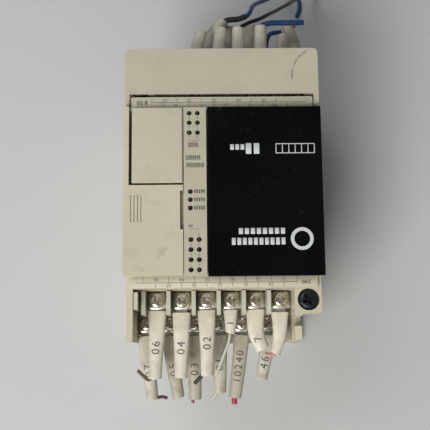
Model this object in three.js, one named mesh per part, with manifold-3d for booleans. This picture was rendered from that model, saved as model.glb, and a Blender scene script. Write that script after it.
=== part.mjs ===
// A small programmable controller with its leads still on, lying on its back: the front face looks up
// (+Z), the output terminals are at +Y under their cover, and the input terminals are at -Y, open.
// Millimetres. The origin is the centre of the back face.

import * as THREE from 'three';
import { mergeVertices } from 'three/addons/utils/BufferGeometryUtils.js';
import Module from 'manifold-3d';

const wasm = await Module();
wasm.setup();

// ---------------------------------------------------------------- driving dimensions

const HALF_X = 30;             // the case is 60 wide, 90 long and 75 deep
const HALF_Y = 45;
const FRONT_Z = 75;
const WALL = 1.8;
const GAP = 0.3;
const CORNER = 1.2;

const SPLIT_Z = 26;            // where the rear case meets the front case
const SHELF_Z = 35;            // floor of the two terminal bays
const TOWER_Y = 25.7;          // half length of the raised middle
const DECK_Z = 72.7;           // top of the tower, below its cover plates
const LABEL_X = 27.9;          // the step that carries the terminal labels
const LABEL_Y = 29.4;
const LABEL_Z = 72.2;
const BAY_WALL = [27.2, 29.1];
const BAY_TOP_Z = 70.9;

const NOTCH = { x: 24.5, y: 34.6 };          // the mounting ears' corners
const COLUMN = { y: 36.8, low: 58 };         // the screw column stands out over a notch, above low
const EAR = { x: 26, y: 40, thick: 3.5, hole: 2.25 };
const CASE_SCREW = { x: 25.2, y: 32.9, head: 3.05, deep: 3, shank: 1.4 };

const RAIL = { half: 17.8, deep: 7.8, lip: 16.6, seat: 16, relief: 0.3 };
const HOOK = { half: 4.9, z0: 1.5, z1: 4.0, noseZ: 6.2, tip: 16.5, end: 44.6, travel: 5 };

const PITCH = 7.62;
const ROW_INNER = { x0: -20.6, y: 32.3, seat: 58.4 };
const ROW_OUTER = { x0: -24.41, y: 39.0, seat: 47.4 };
const TERMINALS = 6;
const STEP_Y = 34.7;           // where the block steps down to the outer row
const BLOCK_Y = 42;
const RIB = { inner: 0.62, outer: 0.6, top: 66.6, end: 36.8 };
const LUG = { thick: 0.8, radius: 2.6, hole: 1.9 };
const SCREW = { washer: 2.6, head: 2.4, shank: 1.6 };

const HINGE = { y: 27.9, z: 70.6, radius: 1.9, pin: 0.75 };
const COVER = { y: 30.4, relief: 0.4, top: 72.5 };
const LID = { x0: -27.4, x1: -12, y0: 2.05, y1: 25.3, barrel: 0.6 };
const PORT = { x0: -27.2, x1: -12.4, y0: 2.3, y1: 24.9, floor: 58 };
const BAY_COVER = { x0: -30, x1: -12, y0: -25.7, y1: 1.4, rim: -28.3 };   // with a rim beside the lid
const STRIP = { x0: -11.8, x1: -4.95, top: 74.8 };
const NAMEPLATE = { x: -4.65, lower: 0.45 };   // its lower edge stands out past the tower

const LIGHTS = [
  ...[23.6, 20.6, 17.5].flatMap((y) => [[-10.05, y], [-7.57, y]]),
  ...[-0.67, -3.13, -5.64].map((y) => [-9.83, y]),
  ...[-15.15, -18.15, -21.15, -24.15].flatMap((y) => [[-9.72, y], [-7.28, y]]),
];

// ---------------------------------------------------------------- solids

function solidOf(geometry) {
  const bare = geometry.clone();
  bare.deleteAttribute('normal');
  bare.deleteAttribute('uv');
  const merged = mergeVertices(bare, 1e-4);
  const index = merged.index.array;
  const kept = [];
  for (let i = 0; i < index.length; i += 3) {
    const [a, b, c] = [index[i], index[i + 1], index[i + 2]];
    if (a !== b && b !== c && c !== a) kept.push(a, b, c);
  }
  return new wasm.Manifold(new wasm.Mesh({
    numProp: 3,
    vertProperties: new Float32Array(merged.attributes.position.array),
    triVerts: new Uint32Array(kept),
  }));
}

function geometryOf(solid) {
  const mesh = solid.getMesh();
  const geometry = new THREE.BufferGeometry();
  geometry.setAttribute('position', new THREE.BufferAttribute(new Float32Array(mesh.vertProperties), 3));
  geometry.setIndex(new THREE.BufferAttribute(new Uint32Array(mesh.triVerts), 1));
  geometry.computeVertexNormals();
  return geometry;
}

function join(...solids) {
  return solids.reduce((whole, next) => whole.add(next));
}

function cut(solid, ...tools) {
  return tools.reduce((rest, tool) => rest.subtract(tool), solid);
}

function halfTurn(solid) {
  return solidOf(geometryOf(solid).rotateZ(Math.PI));
}

function box([x0, x1], [y0, y1], [z0, z1]) {
  const geometry = new THREE.BoxGeometry(x1 - x0, y1 - y0, z1 - z0);
  return solidOf(geometry.translate((x0 + x1) / 2, (y0 + y1) / 2, (z0 + z1) / 2));
}

function rod(x, y, radius, [z0, z1], sides = 12) {
  const geometry = new THREE.CylinderGeometry(radius, radius, z1 - z0, sides);
  return solidOf(geometry.rotateX(Math.PI / 2).translate(x, y, (z0 + z1) / 2));
}

// A rod along X or Y, through (across, z) from one end to the other.
function rodAlong(axis, across, z, radius, [from, to], sides = 20) {
  const geometry = new THREE.CylinderGeometry(radius, radius, to - from, sides);
  const middle = (from + to) / 2;
  if (axis === 'x') return solidOf(geometry.rotateZ(Math.PI / 2).translate(middle, across, z));
  return solidOf(geometry.translate(across, middle, z));
}

// An outline in the XY plane, with every corner rounded, pulled up from z0 to z1.
function slab(points, [z0, z1], radius = 0, steps = 3) {
  const corners = points.map(([x, y]) => new THREE.Vector2(x, y));
  const shape = new THREE.Shape();
  corners.forEach((corner, i) => {
    const before = corners[(i + corners.length - 1) % corners.length];
    const after = corners[(i + 1) % corners.length];
    if (!radius) {
      if (i) shape.lineTo(corner.x, corner.y);
      else shape.moveTo(corner.x, corner.y);
      return;
    }
    const start = before.clone().sub(corner).setLength(radius).add(corner);
    const end = after.clone().sub(corner).setLength(radius).add(corner);
    if (i) shape.lineTo(start.x, start.y);
    else shape.moveTo(start.x, start.y);
    shape.quadraticCurveTo(corner.x, corner.y, end.x, end.y);
  });
  shape.closePath();
  const geometry = new THREE.ExtrudeGeometry(shape, {
    depth: z1 - z0,
    bevelEnabled: false,
    curveSegments: steps,
  });
  return solidOf(geometry.translate(0, 0, z0));
}

function rectangle([x0, x1], [y0, y1]) {
  return [[x0, y0], [x1, y0], [x1, y1], [x0, y1]];
}

// The case outline, less the two corners of the mounting ears, moved in by an inset.
function notched(inset) {
  const [x, y] = [HALF_X - inset, HALF_Y - inset];
  const [nx, ny] = [NOTCH.x - inset, NOTCH.y - inset];
  return [[-x, -y], [nx, -y], [nx, -ny], [x, -ny], [x, y], [-nx, y], [-nx, ny], [-x, ny]];
}

// A tube through stations { at: [x, y, z], wide, thick }, oval where wide and thick differ.
function loft(stations, sides = 8) {
  const last = stations.length - 1;
  const geometry = new THREE.CylinderGeometry(1, 1, 1, sides, last);
  const at = stations.map((s) => new THREE.Vector3(...s.at));
  const up = new THREE.Vector3(0, 0, 1);
  const frames = stations.map((s, i) => {
    const back = at[Math.max(i - 1, 0)].clone().sub(at[Math.min(i + 1, last)]).normalize();
    const across = back.clone().cross(up).normalize();
    return { across, rise: across.clone().cross(back), ...s };
  });
  const position = geometry.attributes.position;
  for (let i = 0; i < position.count; i++) {
    const station = Math.round((0.5 - position.getY(i)) * last);
    const { across, rise, wide, thick } = frames[station];
    const point = at[station].clone();
    point.addScaledVector(across, position.getX(i) * wide / 2);
    point.addScaledVector(rise, position.getZ(i) * thick / 2);
    position.setXYZ(i, point.x, point.y, point.z);
  }
  return solidOf(geometry);
}

// A wire of one thickness, through points.
function wire(points, thick, sides = 6) {
  return loft(points.map((at) => ({ at, wide: thick, thick })), sides);
}

// ---------------------------------------------------------------- the scene graph

const controller = new THREE.Group();

const BEIGE = { color: 0xb9b59e, roughness: 0.55, metalness: 0 };
const GREY_GREEN = { color: 0xafaf9e, roughness: 0.5, metalness: 0 };
const BLACK = { color: 0x0a0b0d, roughness: 0.25, metalness: 0 };
const CLEAR = { color: 0xd8dcd4, roughness: 0.2, metalness: 0 };
const STEEL = { color: 0xc8c6bd, roughness: 0.3, metalness: 1 };
const BLACK_STEEL = { color: 0x16191a, roughness: 0.4, metalness: 0.6 };
const SLEEVE = { color: 0xcbc6b6, roughness: 0.5, metalness: 0 };
const BOARD = { color: 0x1f5a3a, roughness: 0.5, metalness: 0 };
const BLUE = { color: 0x1f5f9e, roughness: 0.4, metalness: 0 };

function node(name, solid, look) {
  const mesh = new THREE.Mesh(geometryOf(solid), new THREE.MeshStandardMaterial(look));
  mesh.name = name;
  controller.add(mesh);
  return mesh;
}

// ---------------------------------------------------------------- rear case and rail hook

const UNDER = [-1, 0];                     // a cut through the back face starts below it
const POST = { x: 20, y: 30, radius: 2 };

function ear() {
  const plate = slab(rectangle([23, HALF_X], [-HALF_Y, 1 - NOTCH.y]), [0, EAR.thick], CORNER);
  return cut(plate, rod(EAR.x, -EAR.y, EAR.hole, [-1, EAR.thick + 1], 20));
}

function rearCase() {
  const outside = slab(notched(0), [0, SPLIT_Z], CORNER);
  const inside = slab(notched(WALL), [2, SPLIT_Z + 1], 0.6, 1);
  const railWall = [-RAIL.half - 2, RAIL.half + 2];
  const past = [-HALF_X - 1, HALF_X + 1];
  const groove = box(past, [-RAIL.half, RAIL.half], [UNDER[0], RAIL.deep]);
  const reliefs = [[-RAIL.half, -RAIL.seat], [RAIL.seat, RAIL.half]].map((y) => (
    box(past, y, [UNDER[0], RAIL.deep + RAIL.relief])
  ));
  const lip = box([-28, 28], [-RAIL.half - 1, -RAIL.lip], [3.6, 6.1]);
  const channelX = [-HOOK.half - 0.4, HOOK.half + 0.4];
  const guideX = [channelX[0] - WALL, channelX[1] + WALL];
  const noseBack = 21 + HOOK.travel + 0.6;
  const guide = join(
    box(guideX, [RAIL.half, HALF_Y - 0.5], [0, 6.2]),
    box(guideX, [RAIL.half, noseBack + WALL], [0, 8.6]),
  );
  const channel = join(
    box(channelX, [RAIL.half - 1, HALF_Y + 1], [UNDER[0], 4.4]),
    box(channelX, [RAIL.half - 1, noseBack], [UNDER[0], 6.8]),
  );
  const strap = box([channelX[0] - 1, channelX[1] + 1], [33, 36], [0, 1.1]);
  const railFloor = box([-HALF_X + 1, HALF_X - 1], railWall, [0, RAIL.deep + 2]);
  const posts = [-1, 1].flatMap((sx) => [-1, 1].map((sy) => (
    rod(sx * POST.x, sy * POST.y, POST.radius, [1, 13.7], 8)
  )));
  const vents = Array.from({ length: 8 }, (_, i) => (
    box([-18.6 + 5 * i, -16.4 + 5 * i], [-HALF_Y - 1, HALF_Y + 1], [11, 22])
  ));
  const shell = join(cut(outside, inside), railFloor, guide, ...posts, ear(), halfTurn(ear()));
  return join(cut(shell, groove, ...reliefs, channel, ...vents), lip, strap);
}

function railHook() {
  const wide = [-HOOK.half, HOOK.half];
  const plate = box(wide, [19, HOOK.end], [HOOK.z0, HOOK.z1]);
  const nose = box(wide, [HOOK.tip, 21], [HOOK.z0, HOOK.noseZ]);
  const pull = box([-3, 3], [39.8, 42.8], [0, 6]);
  return cut(join(plate, nose), pull);
}

node('rear_case', rearCase(), BEIGE);
node('rail_hook', railHook(), BEIGE);

// ---------------------------------------------------------------- front case

// One terminal bay, drawn at the input side: side walls, screw column, the wall beside the ear's corner.
function bayWalls() {
  const [inner, outer] = BAY_WALL;
  const rise = [SHELF_Z - 1, BAY_TOP_Z];
  const left = slab(rectangle([-outer, -inner], [-HALF_Y, -TOWER_Y + 1]), rise, 0.8, 2);
  const right = box([inner, outer], [-NOTCH.y, -TOWER_Y + 1], rise);
  const columnY = [-COLUMN.y, -LABEL_Y + 0.5];
  const column = join(
    box([21, outer], columnY, [COLUMN.low, BAY_TOP_Z]),
    box([21, NOTCH.x], columnY, rise),
    rod(CASE_SCREW.x, -CASE_SCREW.y, 3.2, [SHELF_Z + 1, COLUMN.low + 1], 16),
  );
  const leftBlock = join(
    box([-inner - 0.5, -25.8], [-34.3, -LABEL_Y + 0.5], [SHELF_Z - 1, 66]),
    box([-inner - 0.5, -25.8], [-35.4, -LABEL_Y - 0.9], [60, BAY_TOP_Z - 0.6]),
  );
  const corner = slab(
    [[21.3, -36.5], [24.9, -36.5], [24.3, -36.9], [23.5, -37.1], [23.2, -37.7], [21.3, -37.7]],
    rise,
  );
  const low = box([21.6, 24.4], [-44.5, -37], [SHELF_Z - 1, 54]);
  const tab = box([22.1, 24.4], [-44.5, -40.3], [SHELF_Z + 2, 58]);
  return join(left, right, column, leftBlock, corner, low, tab);
}

function screwCuts() {
  const { x, y, head, deep, shank } = CASE_SCREW;
  return [
    rod(x, -y, head + 0.25, [BAY_TOP_Z - deep, BAY_TOP_Z + 2], 24),
    rod(x, -y, shank + GAP, [38, BAY_TOP_Z], 12),
  ];
}

// Room for the output cover's edge, arms and hinge pins.
function hingeCuts() {
  return [-1, 1].flatMap((side) => {
    const span = (a, b) => [side * a, side * b].sort((p, q) => p - q);
    return [
      box(span(0, HALF_X + 1), [LABEL_Y, COVER.y + 0.2], [RIB.top, FRONT_Z]),
      box(span(LABEL_X + 0.2, HALF_X + 1), [TOWER_Y, COVER.y + 0.2], [68.3, FRONT_Z]),
      rodAlong('x', HINGE.y, HINGE.z, HINGE.pin + GAP, span(LABEL_X - 1.4, LABEL_X + 1), 12),
    ];
  });
}

function tub({ x0, x1, y0, y1, floor }) {
  return box([x0 - 1.2, x1 + 1], [y0 - 1.2, y1 + 0.8], [floor - 1.4, DECK_Z - 0.5]);
}

const RECESS = { x0: -27.2, x1: -13.4, y0: -24, y1: 0.2, floor: 66 };
const LIGHT_SLOT = { x: [-11.1, -6.1], y: [-25, 25] };
const LID_GAP_FLOOR = 70.4;
const DIAL_PAD = { x: [-20.6, -12.8], y: [4.2, 8.6], top: 60.4 };

function frontCase() {
  const base = slab(notched(0), [SPLIT_Z + GAP, SHELF_Z], CORNER);
  const tower = slab(rectangle([-HALF_X, HALF_X], [-TOWER_Y, TOWER_Y]), [SHELF_Z - 1, DECK_Z], 0.5, 1);
  const step = slab(rectangle([-LABEL_X, LABEL_X], [-LABEL_Y, LABEL_Y]), [SHELF_Z - 1, LABEL_Z], 0.3, 1);
  const baseHollow = slab(notched(WALL), [SPLIT_Z - 1, SHELF_Z - WALL], 0.6, 1);
  const insideX = [-HALF_X + WALL, HALF_X - WALL];
  const towerHollow = box(insideX, [-TOWER_Y + WALL, TOWER_Y - WALL], [SPLIT_Z - 1, DECK_Z - WALL]);
  const stepX = [-LABEL_X + 2, LABEL_X - 2];
  const stepHollow = box(stepX, [-LABEL_Y + WALL, LABEL_Y - WALL], [SPLIT_Z - 1, 68.2]);
  const posts = [-1, 1].flatMap((sx) => [-1, 1].map((sy) => (
    rod(sx * 25, sy * 20.5, 2, [52, DECK_Z - 1], 8)
  )));
  const shell = cut(join(base, tower, step), baseHollow, towerHollow, stepHollow);
  const filled = join(shell, tub(PORT), tub(RECESS), ...posts);
  const opened = cut(
    filled,
    box([PORT.x0, PORT.x1], [PORT.y0, PORT.y1], [PORT.floor, FRONT_Z]),
    box([BAY_COVER.rim, PORT.x1], [BAY_COVER.y1, PORT.y1], [LID_GAP_FLOOR, FRONT_Z]),
    box([RECESS.x0, RECESS.x1], [RECESS.y0, RECESS.y1], [RECESS.floor, FRONT_Z]),
    box(LIGHT_SLOT.x, LIGHT_SLOT.y, [60, FRONT_Z]),
  );
  const pad = box(DIAL_PAD.x, DIAL_PAD.y, [PORT.floor - 1, DIAL_PAD.top]);
  const walls = bayWalls();
  const screws = screwCuts();
  const cuts = [...screws, ...screws.map(halfTurn), ...hingeCuts()];
  return cut(join(opened, pad, walls, halfTurn(walls)), ...cuts);
}

node('front_case', frontCase(), BEIGE);

// ---------------------------------------------------------------- cover plates on the tower

const PLATE = [DECK_Z + GAP, FRONT_Z];

function nameplateCover() {
  return box([NAMEPLATE.x, HALF_X], [-TOWER_Y - NAMEPLATE.lower, TOWER_Y - 0.15], PLATE);
}

function indicatorStrip() {
  const plate = box([STRIP.x0, STRIP.x1], [-TOWER_Y, TOWER_Y - 0.3], [PLATE[0], STRIP.top]);
  return cut(plate, ...LIGHTS.map(([x, y]) => rod(x, y, 0.8, [DECK_Z, FRONT_Z + 1], 8)));
}

function lightGuide() {
  const bar = box([-10.8, -6.4], [-24.9, 24.5], [69, DECK_Z]);
  return join(bar, ...LIGHTS.map(([x, y]) => rod(x, y, 0.5, [DECK_Z - 1, STRIP.top - 0.3], 6)));
}

// The lid turns about its right edge, which is a barrel along the hinge line.
function portLid() {
  const hingeX = LID.x1 - LID.barrel;
  const along = [LID.y0, LID.y1];
  const plate = box([LID.x0, hingeX], along, [FRONT_Z - 2 * LID.barrel, FRONT_Z]);
  return join(plate, rodAlong('y', hingeX, FRONT_Z - LID.barrel, LID.barrel, along, 20));
}

function expansionCover() {
  const { x0, x1, y0, y1, rim } = BAY_COVER;
  const plate = join(box([x0, x1], [y0, y1], PLATE), box([x0, rim], [y1 - 0.1, TOWER_Y], PLATE));
  const slot = box([x1 - 0.9, x1 + 1], [-12.1, -0.25], [DECK_Z, FRONT_Z + 1]);
  const grips = Array.from({ length: 4 }, (_, i) => (
    box([-27.75 + 1.03 * i, -27.3 + 1.03 * i], [-9.65, -1.6], [FRONT_Z - 0.5, FRONT_Z + 1])
  ));
  const legs = [-20, -4].map((y) => box([-26.9, -25.9], [y - 2.5, y + 2.5], [68.5, PLATE[0] + 0.5]));
  return join(cut(plate, slot, ...grips), ...legs);
}

node('nameplate_cover', nameplateCover(), BLACK);
node('indicator_strip', indicatorStrip(), BEIGE);
node('light_guide', lightGuide(), CLEAR);
node('port_lid', portLid(), BEIGE);
node('expansion_cover', expansionCover(), BEIGE);

// ---------------------------------------------------------------- output terminal cover

// The plate's lower edge at the hinge is relieved, so that it swings clear of the label step.
function outputCover() {
  const edge = HALF_X - 0.05;
  const top = [BAY_TOP_Z + GAP, COVER.top];
  const flat = cut(
    slab(rectangle([-edge, edge], [COVER.y - 5, HALF_Y]), top, 1.8, 4),
    box([-HALF_X, HALF_X], [COVER.y - 6, COVER.y], [top[0] - 1, top[1] + 1]),
  );
  const swing = box([-HALF_X, HALF_X], [COVER.y - 1, COVER.y + COVER.relief], [top[0] - 1, top[0] + 0.5]);
  const plate = cut(flat, swing);
  const lip = box([-BAY_WALL[0] + GAP, BAY_WALL[0] - GAP], [43.6, HALF_Y], [66, 72]);
  const sides = [-1, 1].flatMap((side) => {
    const span = (a, b) => [side * a, side * b].sort((p, q) => p - q);
    return [
      box(span(29.35, edge), [COVER.y, 44.4], [66, 72]),
      box(span(LABEL_X + 0.5, edge), [HINGE.y, COVER.y + 0.1], [HINGE.z, COVER.top]),
      rodAlong('x', HINGE.y, HINGE.z, HINGE.radius, span(LABEL_X + 0.5, edge), 20),
      rodAlong('x', HINGE.y, HINGE.z, HINGE.pin, span(LABEL_X - 1, LABEL_X + 1), 12),
    ];
  });
  return join(plate, lip, ...sides);
}

node('output_cover', outputCover(), BEIGE);

// ---------------------------------------------------------------- terminal blocks

const INNER = { x: [-25.3, 20.7], y: [-STEP_Y, -LABEL_Y - GAP] };
const OUTER = { x: [-26.9, 20.7], y: [-BLOCK_Y, -STEP_Y + 0.1] };

function terminal(row, i) {
  return [row.x0 + PITCH * i, -row.y, row.seat];
}

function eachTerminal(make) {
  const order = Array.from({ length: TERMINALS }, (_, i) => i);
  return [ROW_INNER, ROW_OUTER].flatMap((row) => order.map((i) => make(row, i)));
}

// The metal clamping plates are moulded into the block and are drawn as part of it.
function terminalBlock() {
  const floor = SHELF_Z + GAP;
  const inner = box(INNER.x, INNER.y, [floor, ROW_INNER.seat]);
  const outer = box(OUTER.x, OUTER.y, [floor, ROW_OUTER.seat]);
  const ribs = Array.from({ length: TERMINALS }, (_, i) => {
    const innerX = ROW_OUTER.x0 + PITCH * i;
    const outerX = ROW_INNER.x0 + PITCH * i;
    return join(
      box([innerX - RIB.inner, innerX + RIB.inner], [-STEP_Y, INNER.y[1]], [floor, RIB.top]),
      box([innerX - RIB.inner, innerX + RIB.inner], [-RIB.end, -STEP_Y + 0.5], [54, RIB.top]),
      box([outerX - RIB.outer, outerX + RIB.outer], [-BLOCK_Y, -STEP_Y + 0.5], [floor, 52.5]),
    );
  });
  const holes = eachTerminal((row, i) => {
    const [x, y, z] = terminal(row, i);
    return rod(x, y, SCREW.shank + GAP, [z - 7, z + 1], 8);
  });
  return cut(join(inner, outer, ...ribs), ...holes);
}

// A pan-head screw with its square washer: clamped on the lug, which lies on the seat.
function terminalScrew([x, y, seat]) {
  const washer = seat + 0.1 + LUG.thick + 0.1;
  const head = washer + 0.8;
  const profile = [
    [0, seat - 6], [SCREW.shank, seat - 6], [SCREW.shank, head], [SCREW.head, head],
    [SCREW.head, head + 1.3], [SCREW.head - 0.6, head + 2.1], [0, head + 2.3],
  ];
  const turned = new THREE.LatheGeometry(profile.map(([r, z]) => new THREE.Vector2(r, z)), 12);
  const body = solidOf(turned.rotateX(Math.PI / 2).translate(x, y, 0));
  const half = SCREW.washer;
  const plate = box([x - half, x + half], [y - half, y + half], [washer, head]);
  const recess = join(
    box([x - 0.4, x + 0.4], [y - 1.5, y + 1.5], [head + 1, head + 3]),
    box([x - 1.5, x + 1.5], [y - 0.4, y + 0.4], [head + 1, head + 3]),
  );
  return cut(join(body, plate), recess);
}

function caseScrew() {
  const x = CASE_SCREW.x;
  const y = -CASE_SCREW.y;
  const seat = BAY_TOP_Z - CASE_SCREW.deep + 0.2;
  const head = rod(x, y, CASE_SCREW.head, [seat, BAY_TOP_Z - 0.2], 24);
  const shank = rod(x, y, CASE_SCREW.shank, [40, seat + 0.5], 10);
  const recess = join(
    box([x - 0.55, x + 0.55], [y - 2, y + 2], [seat + 1, FRONT_Z]),
    box([x - 2, x + 2], [y - 0.55, y + 0.55], [seat + 1, FRONT_Z]),
  );
  return cut(join(head, shank), recess);
}

node('input_block', terminalBlock(), GREY_GREEN);
node('output_block', halfTurn(terminalBlock()), GREY_GREEN);
eachTerminal((row, i) => terminalScrew(terminal(row, i))).forEach((screw, i) => {
  node(`input_screw_${i + 1}`, screw, STEEL);
});
node('case_screw_1', caseScrew(), BLACK_STEEL);
node('case_screw_2', halfTurn(caseScrew()), BLACK_STEEL);

// ---------------------------------------------------------------- leads in their marker sleeves

// A lead is its ring lug, its sleeve and the cut end of its wire. The sleeve's stations and the wire's
// points are in the row frame; mouth and end are how wide the sleeve is there.
function lead(row, i, turned, { sleeve, mouth = 5.4, end = 4.2, stubs = [], stub = 1.3 }) {
  const side = turned ? -1 : 1;
  const x = side * (row.x0 + PITCH * i);
  const y = -side * row.y;
  const low = row.seat + 0.1;
  const plateZ = [low, low + LUG.thick];
  const [mx, my, mz] = sleeve[0];
  const [near, far] = [y, my - side * 1.5];
  const neck = slab([[x - 1.7, near], [mx - 1.6, far], [mx + 1.6, far], [x + 1.7, near]], plateZ);
  const ring = rod(x, y, LUG.radius, plateZ, 10);
  const hole = rod(x, y, LUG.hole, [low - 1, low + 2], 10);
  const last = sleeve.length - 1;
  const tube = loft(sleeve.map((at, k) => ({
    at,
    wide: mouth + (end - mouth) * k / last,
    thick: 3.3 + 0.3 * k / last,
  })));
  return join(cut(join(ring, neck), hole), tube, ...stubs.map((points) => wire(points, stub)));
}

const HIGH = 58.6;     // where a sleeve of the inner row starts
const LOW = 48.4;      // and one of the outer row

const INPUT_INNER_LEADS = [
  {
    sleeve: [[-20.5, -35.2, HIGH], [-20.8, -45, 58], [-21.3, -56, 57]],
    stubs: [[[-21.4, -55, 57], [-23.3, -56.4, 57], [-27.1, -53.6, 57.4]]],
  },
  { sleeve: [[-13, -35.8, HIGH], [-13.1, -45, 58], [-13.3, -55.7, 57]] },
  {
    sleeve: [[-5.3, -35.1, HIGH], [-5.1, -45, 58], [-5.2, -55.2, 57]],
    stubs: [[[-5.6, -54.6, 57], [-7, -55.8, 56.6], [-9.5, -57.9, 56]]],
  },
  {
    sleeve: [[2.2, -35.1, HIGH], [2.2, -38.6, 58.4], [2.1, -42.3, 58]],
    mouth: 4.6,
    end: 2.6,
    stubs: [[[2.2, -41.5, 58], [1.6, -44.6, 57.8], [-1.8, -54.6, 56.8], [-4.5, -62.4, 55.6]]],
  },
  { sleeve: [[9.9, -35.1, HIGH], [10.1, -42.4, 58.2], [12.1, -47.2, 57.4]] },
  {
    sleeve: [[17.5, -35.9, HIGH], [17.3, -43.4, 58], [15.9, -48.7, 57.2]],
    stubs: [[[16.2, -48, 57.2], [14.6, -49.2, 57], [12.9, -48.9, 56.8]]],
  },
];

const INPUT_OUTER_LEADS = [
  {
    sleeve: [[-24.4, -42.6, LOW], [-23.9, -52, 47.6], [-22.7, -62.6, 46]],
    stubs: [[[-22.3, -61.6, 46.2], [-20.2, -62.1, 46.2], [-17.4, -61.9, 46.4]]],
  },
  {
    sleeve: [[-17, -42.6, LOW], [-16, -52, 47.6], [-14.4, -62.2, 46]],
  },
  {
    sleeve: [[-9.1, -42.6, LOW], [-9.1, -52, 47.6], [-9.1, -62.7, 46]],
    stubs: [[[-9, -61.9, 46], [-8.9, -63.2, 45.8], [-8.6, -64.6, 45.4]]],
  },
  { sleeve: [[-1.3, -42.6, LOW], [-1.2, -52, 47.6], [-1.1, -60.8, 46.4]] },
  {
    sleeve: [[6, -42.6, LOW], [5, -52, 47.6], [3.6, -62.3, 46]],
    end: 4.8,
    stubs: [[[3.6, -61.5, 46], [3.5, -62.8, 45.8], [3.4, -64.3, 45.4]]],
    stub: 1.8,
  },
  { sleeve: [[14.2, -42.6, LOW], [13.6, -49, 47.8], [12.1, -56.5, 46.8]] },
];

const OUTPUT_INNER_LEADS = [
  { sleeve: [[20.6, 35.2, HIGH], [20.2, 50, 57.6], [20.8, 54.8, 57]] },
  {
    sleeve: [[13, 35.2, HIGH], [13.2, 50, 57.6], [13.4, 58, 57]],
    stubs: [[[13.4, 57.4, 56.8], [15, 59.1, 56.8], [20.6, 59.4, 56.6], [27.8, 59.6, 56.2]]],
    stub: 1.8,
  },
  { sleeve: [[5.4, 35.2, HIGH], [5.9, 50, 57.6], [5.9, 57.4, 57]] },
  { sleeve: [[-2.2, 35.2, HIGH], [-0.5, 50, 57.6], [0.3, 57.4, 57]] },
  { sleeve: [[-9.8, 35.2, HIGH], [-7.7, 50, 57.6], [-6.4, 56.3, 57]] },
];

const OUTPUT_OUTER_LEADS = [
  {
    sleeve: [[24.4, 42.6, LOW], [25.5, 54.3, 47.6], [23.3, 62.1, 46.6]],
    stubs: [[[23.4, 61.5, 46.6], [24.2, 62.8, 46.8], [24.9, 64.4, 47]]],
  },
  {
    sleeve: [[16.7, 42.6, LOW], [16.4, 46, 48.2], [16.2, 49, 48]],
    stubs: [[[16.2, 48.4, 48], [15.9, 56.6, 49], [17.1, 59.4, 49.4], [20.9, 60.2, 49.4]]],
    stub: 1.5,
  },
  { sleeve: [[9.1, 42.6, LOW], [9.8, 54, 47.6], [10.4, 62.3, 46.6]] },
  { sleeve: [[1.5, 42.6, LOW], [2.3, 54, 47.6], [3.3, 61.6, 46.6]], end: 3.8 },
  {
    sleeve: [[-6.1, 42.6, LOW], [-5.4, 51, 48], [-3.4, 57, 48.4], [1.4, 63.2, 49.6]],
    stubs: [[[1, 62.8, 49.6], [3.2, 62.8, 49.8], [8.9, 64.5, 50]]],
    stub: 1.9,
  },
];

INPUT_INNER_LEADS.forEach((shape, i) => {
  node(`input_lead_${i + 1}`, lead(ROW_INNER, i, false, shape), SLEEVE);
});
INPUT_OUTER_LEADS.forEach((shape, i) => {
  node(`input_lead_${i + 7}`, lead(ROW_OUTER, i, false, shape), SLEEVE);
});
OUTPUT_INNER_LEADS.forEach((shape, i) => {
  node(`output_lead_${i + 1}`, lead(ROW_INNER, i, true, shape), SLEEVE);
});
OUTPUT_OUTER_LEADS.forEach((shape, i) => {
  node(`output_lead_${i + 6}`, lead(ROW_OUTER, i, true, shape), SLEEVE);
});

// ---------------------------------------------------------------- free wires, down to the table

const BLACK_WIRE = {
  thick: 1.3,
  points: [
    [6.9, 58.1, 56.9], [9.6, 59.7, 56.4], [13.5, 62.0, 54.2], [16.6, 64.8, 51.0], [19.3, 67.6, 47.0],
    [22.6, 71.2, 42.2], [25.6, 74.8, 37.0], [28.0, 78.2, 31.6], [30.2, 82.2, 24.4], [33.0, 86.6, 15.4],
    [36.2, 90.8, 7.4], [39.8, 94.8, 2.2], [43.4, 98.2, 0.8], [47.0, 101.4, 0.7],
  ],
};

const BLUE_WIRE = {
  thick: 1.5,
  points: [
    [9.6, 65.0, 49.8], [10.5, 66.5, 48.8], [11.3, 69.2, 46.4], [12.6, 71.8, 43.0], [14.8, 74.4, 39.0],
    [17.8, 77.6, 34.0], [20.6, 81.6, 26.8], [23.2, 86.4, 17.2], [25.8, 91.0, 8.2], [28.6, 94.4, 2.4],
    [31.2, 94.6, 0.9], [32.8, 91.6, 0.8], [33.1, 87.8, 0.8], [31.9, 84.0, 0.8],
  ],
};

function freeWire({ thick, points }) {
  const through = points.map((p) => new THREE.Vector3(...p));
  const curve = new THREE.CatmullRomCurve3(through, false, 'centripetal');
  const round = new THREE.Shape();
  const sides = 8;
  for (let k = 0; k < sides; k++) {
    const angle = 2 * Math.PI * k / sides;
    const [x, y] = [Math.cos(angle) * thick / 2, Math.sin(angle) * thick / 2];
    if (k) round.lineTo(x, y);
    else round.moveTo(x, y);
  }
  round.closePath();
  const steps = Math.round(curve.getLength() / (2.5 * thick));
  return solidOf(new THREE.ExtrudeGeometry(round, { steps, extrudePath: curve, bevelEnabled: false }));
}

node('black_wire', freeWire(BLACK_WIRE), BLACK);
node('blue_wire', freeWire(BLUE_WIRE), BLUE);

// ---------------------------------------------------------------- inside the case

function powerTransformer() {
  const [x, y] = [[-1, 21], [-11, 9]];
  const core = box(x, y, [15.9, 36]);
  const windows = [[-11.5, -6.5], [4.5, 9.5]].map((side) => box([3, 17], side, [20.5, 31.5]));
  return cut(core, ...windows);
}

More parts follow.
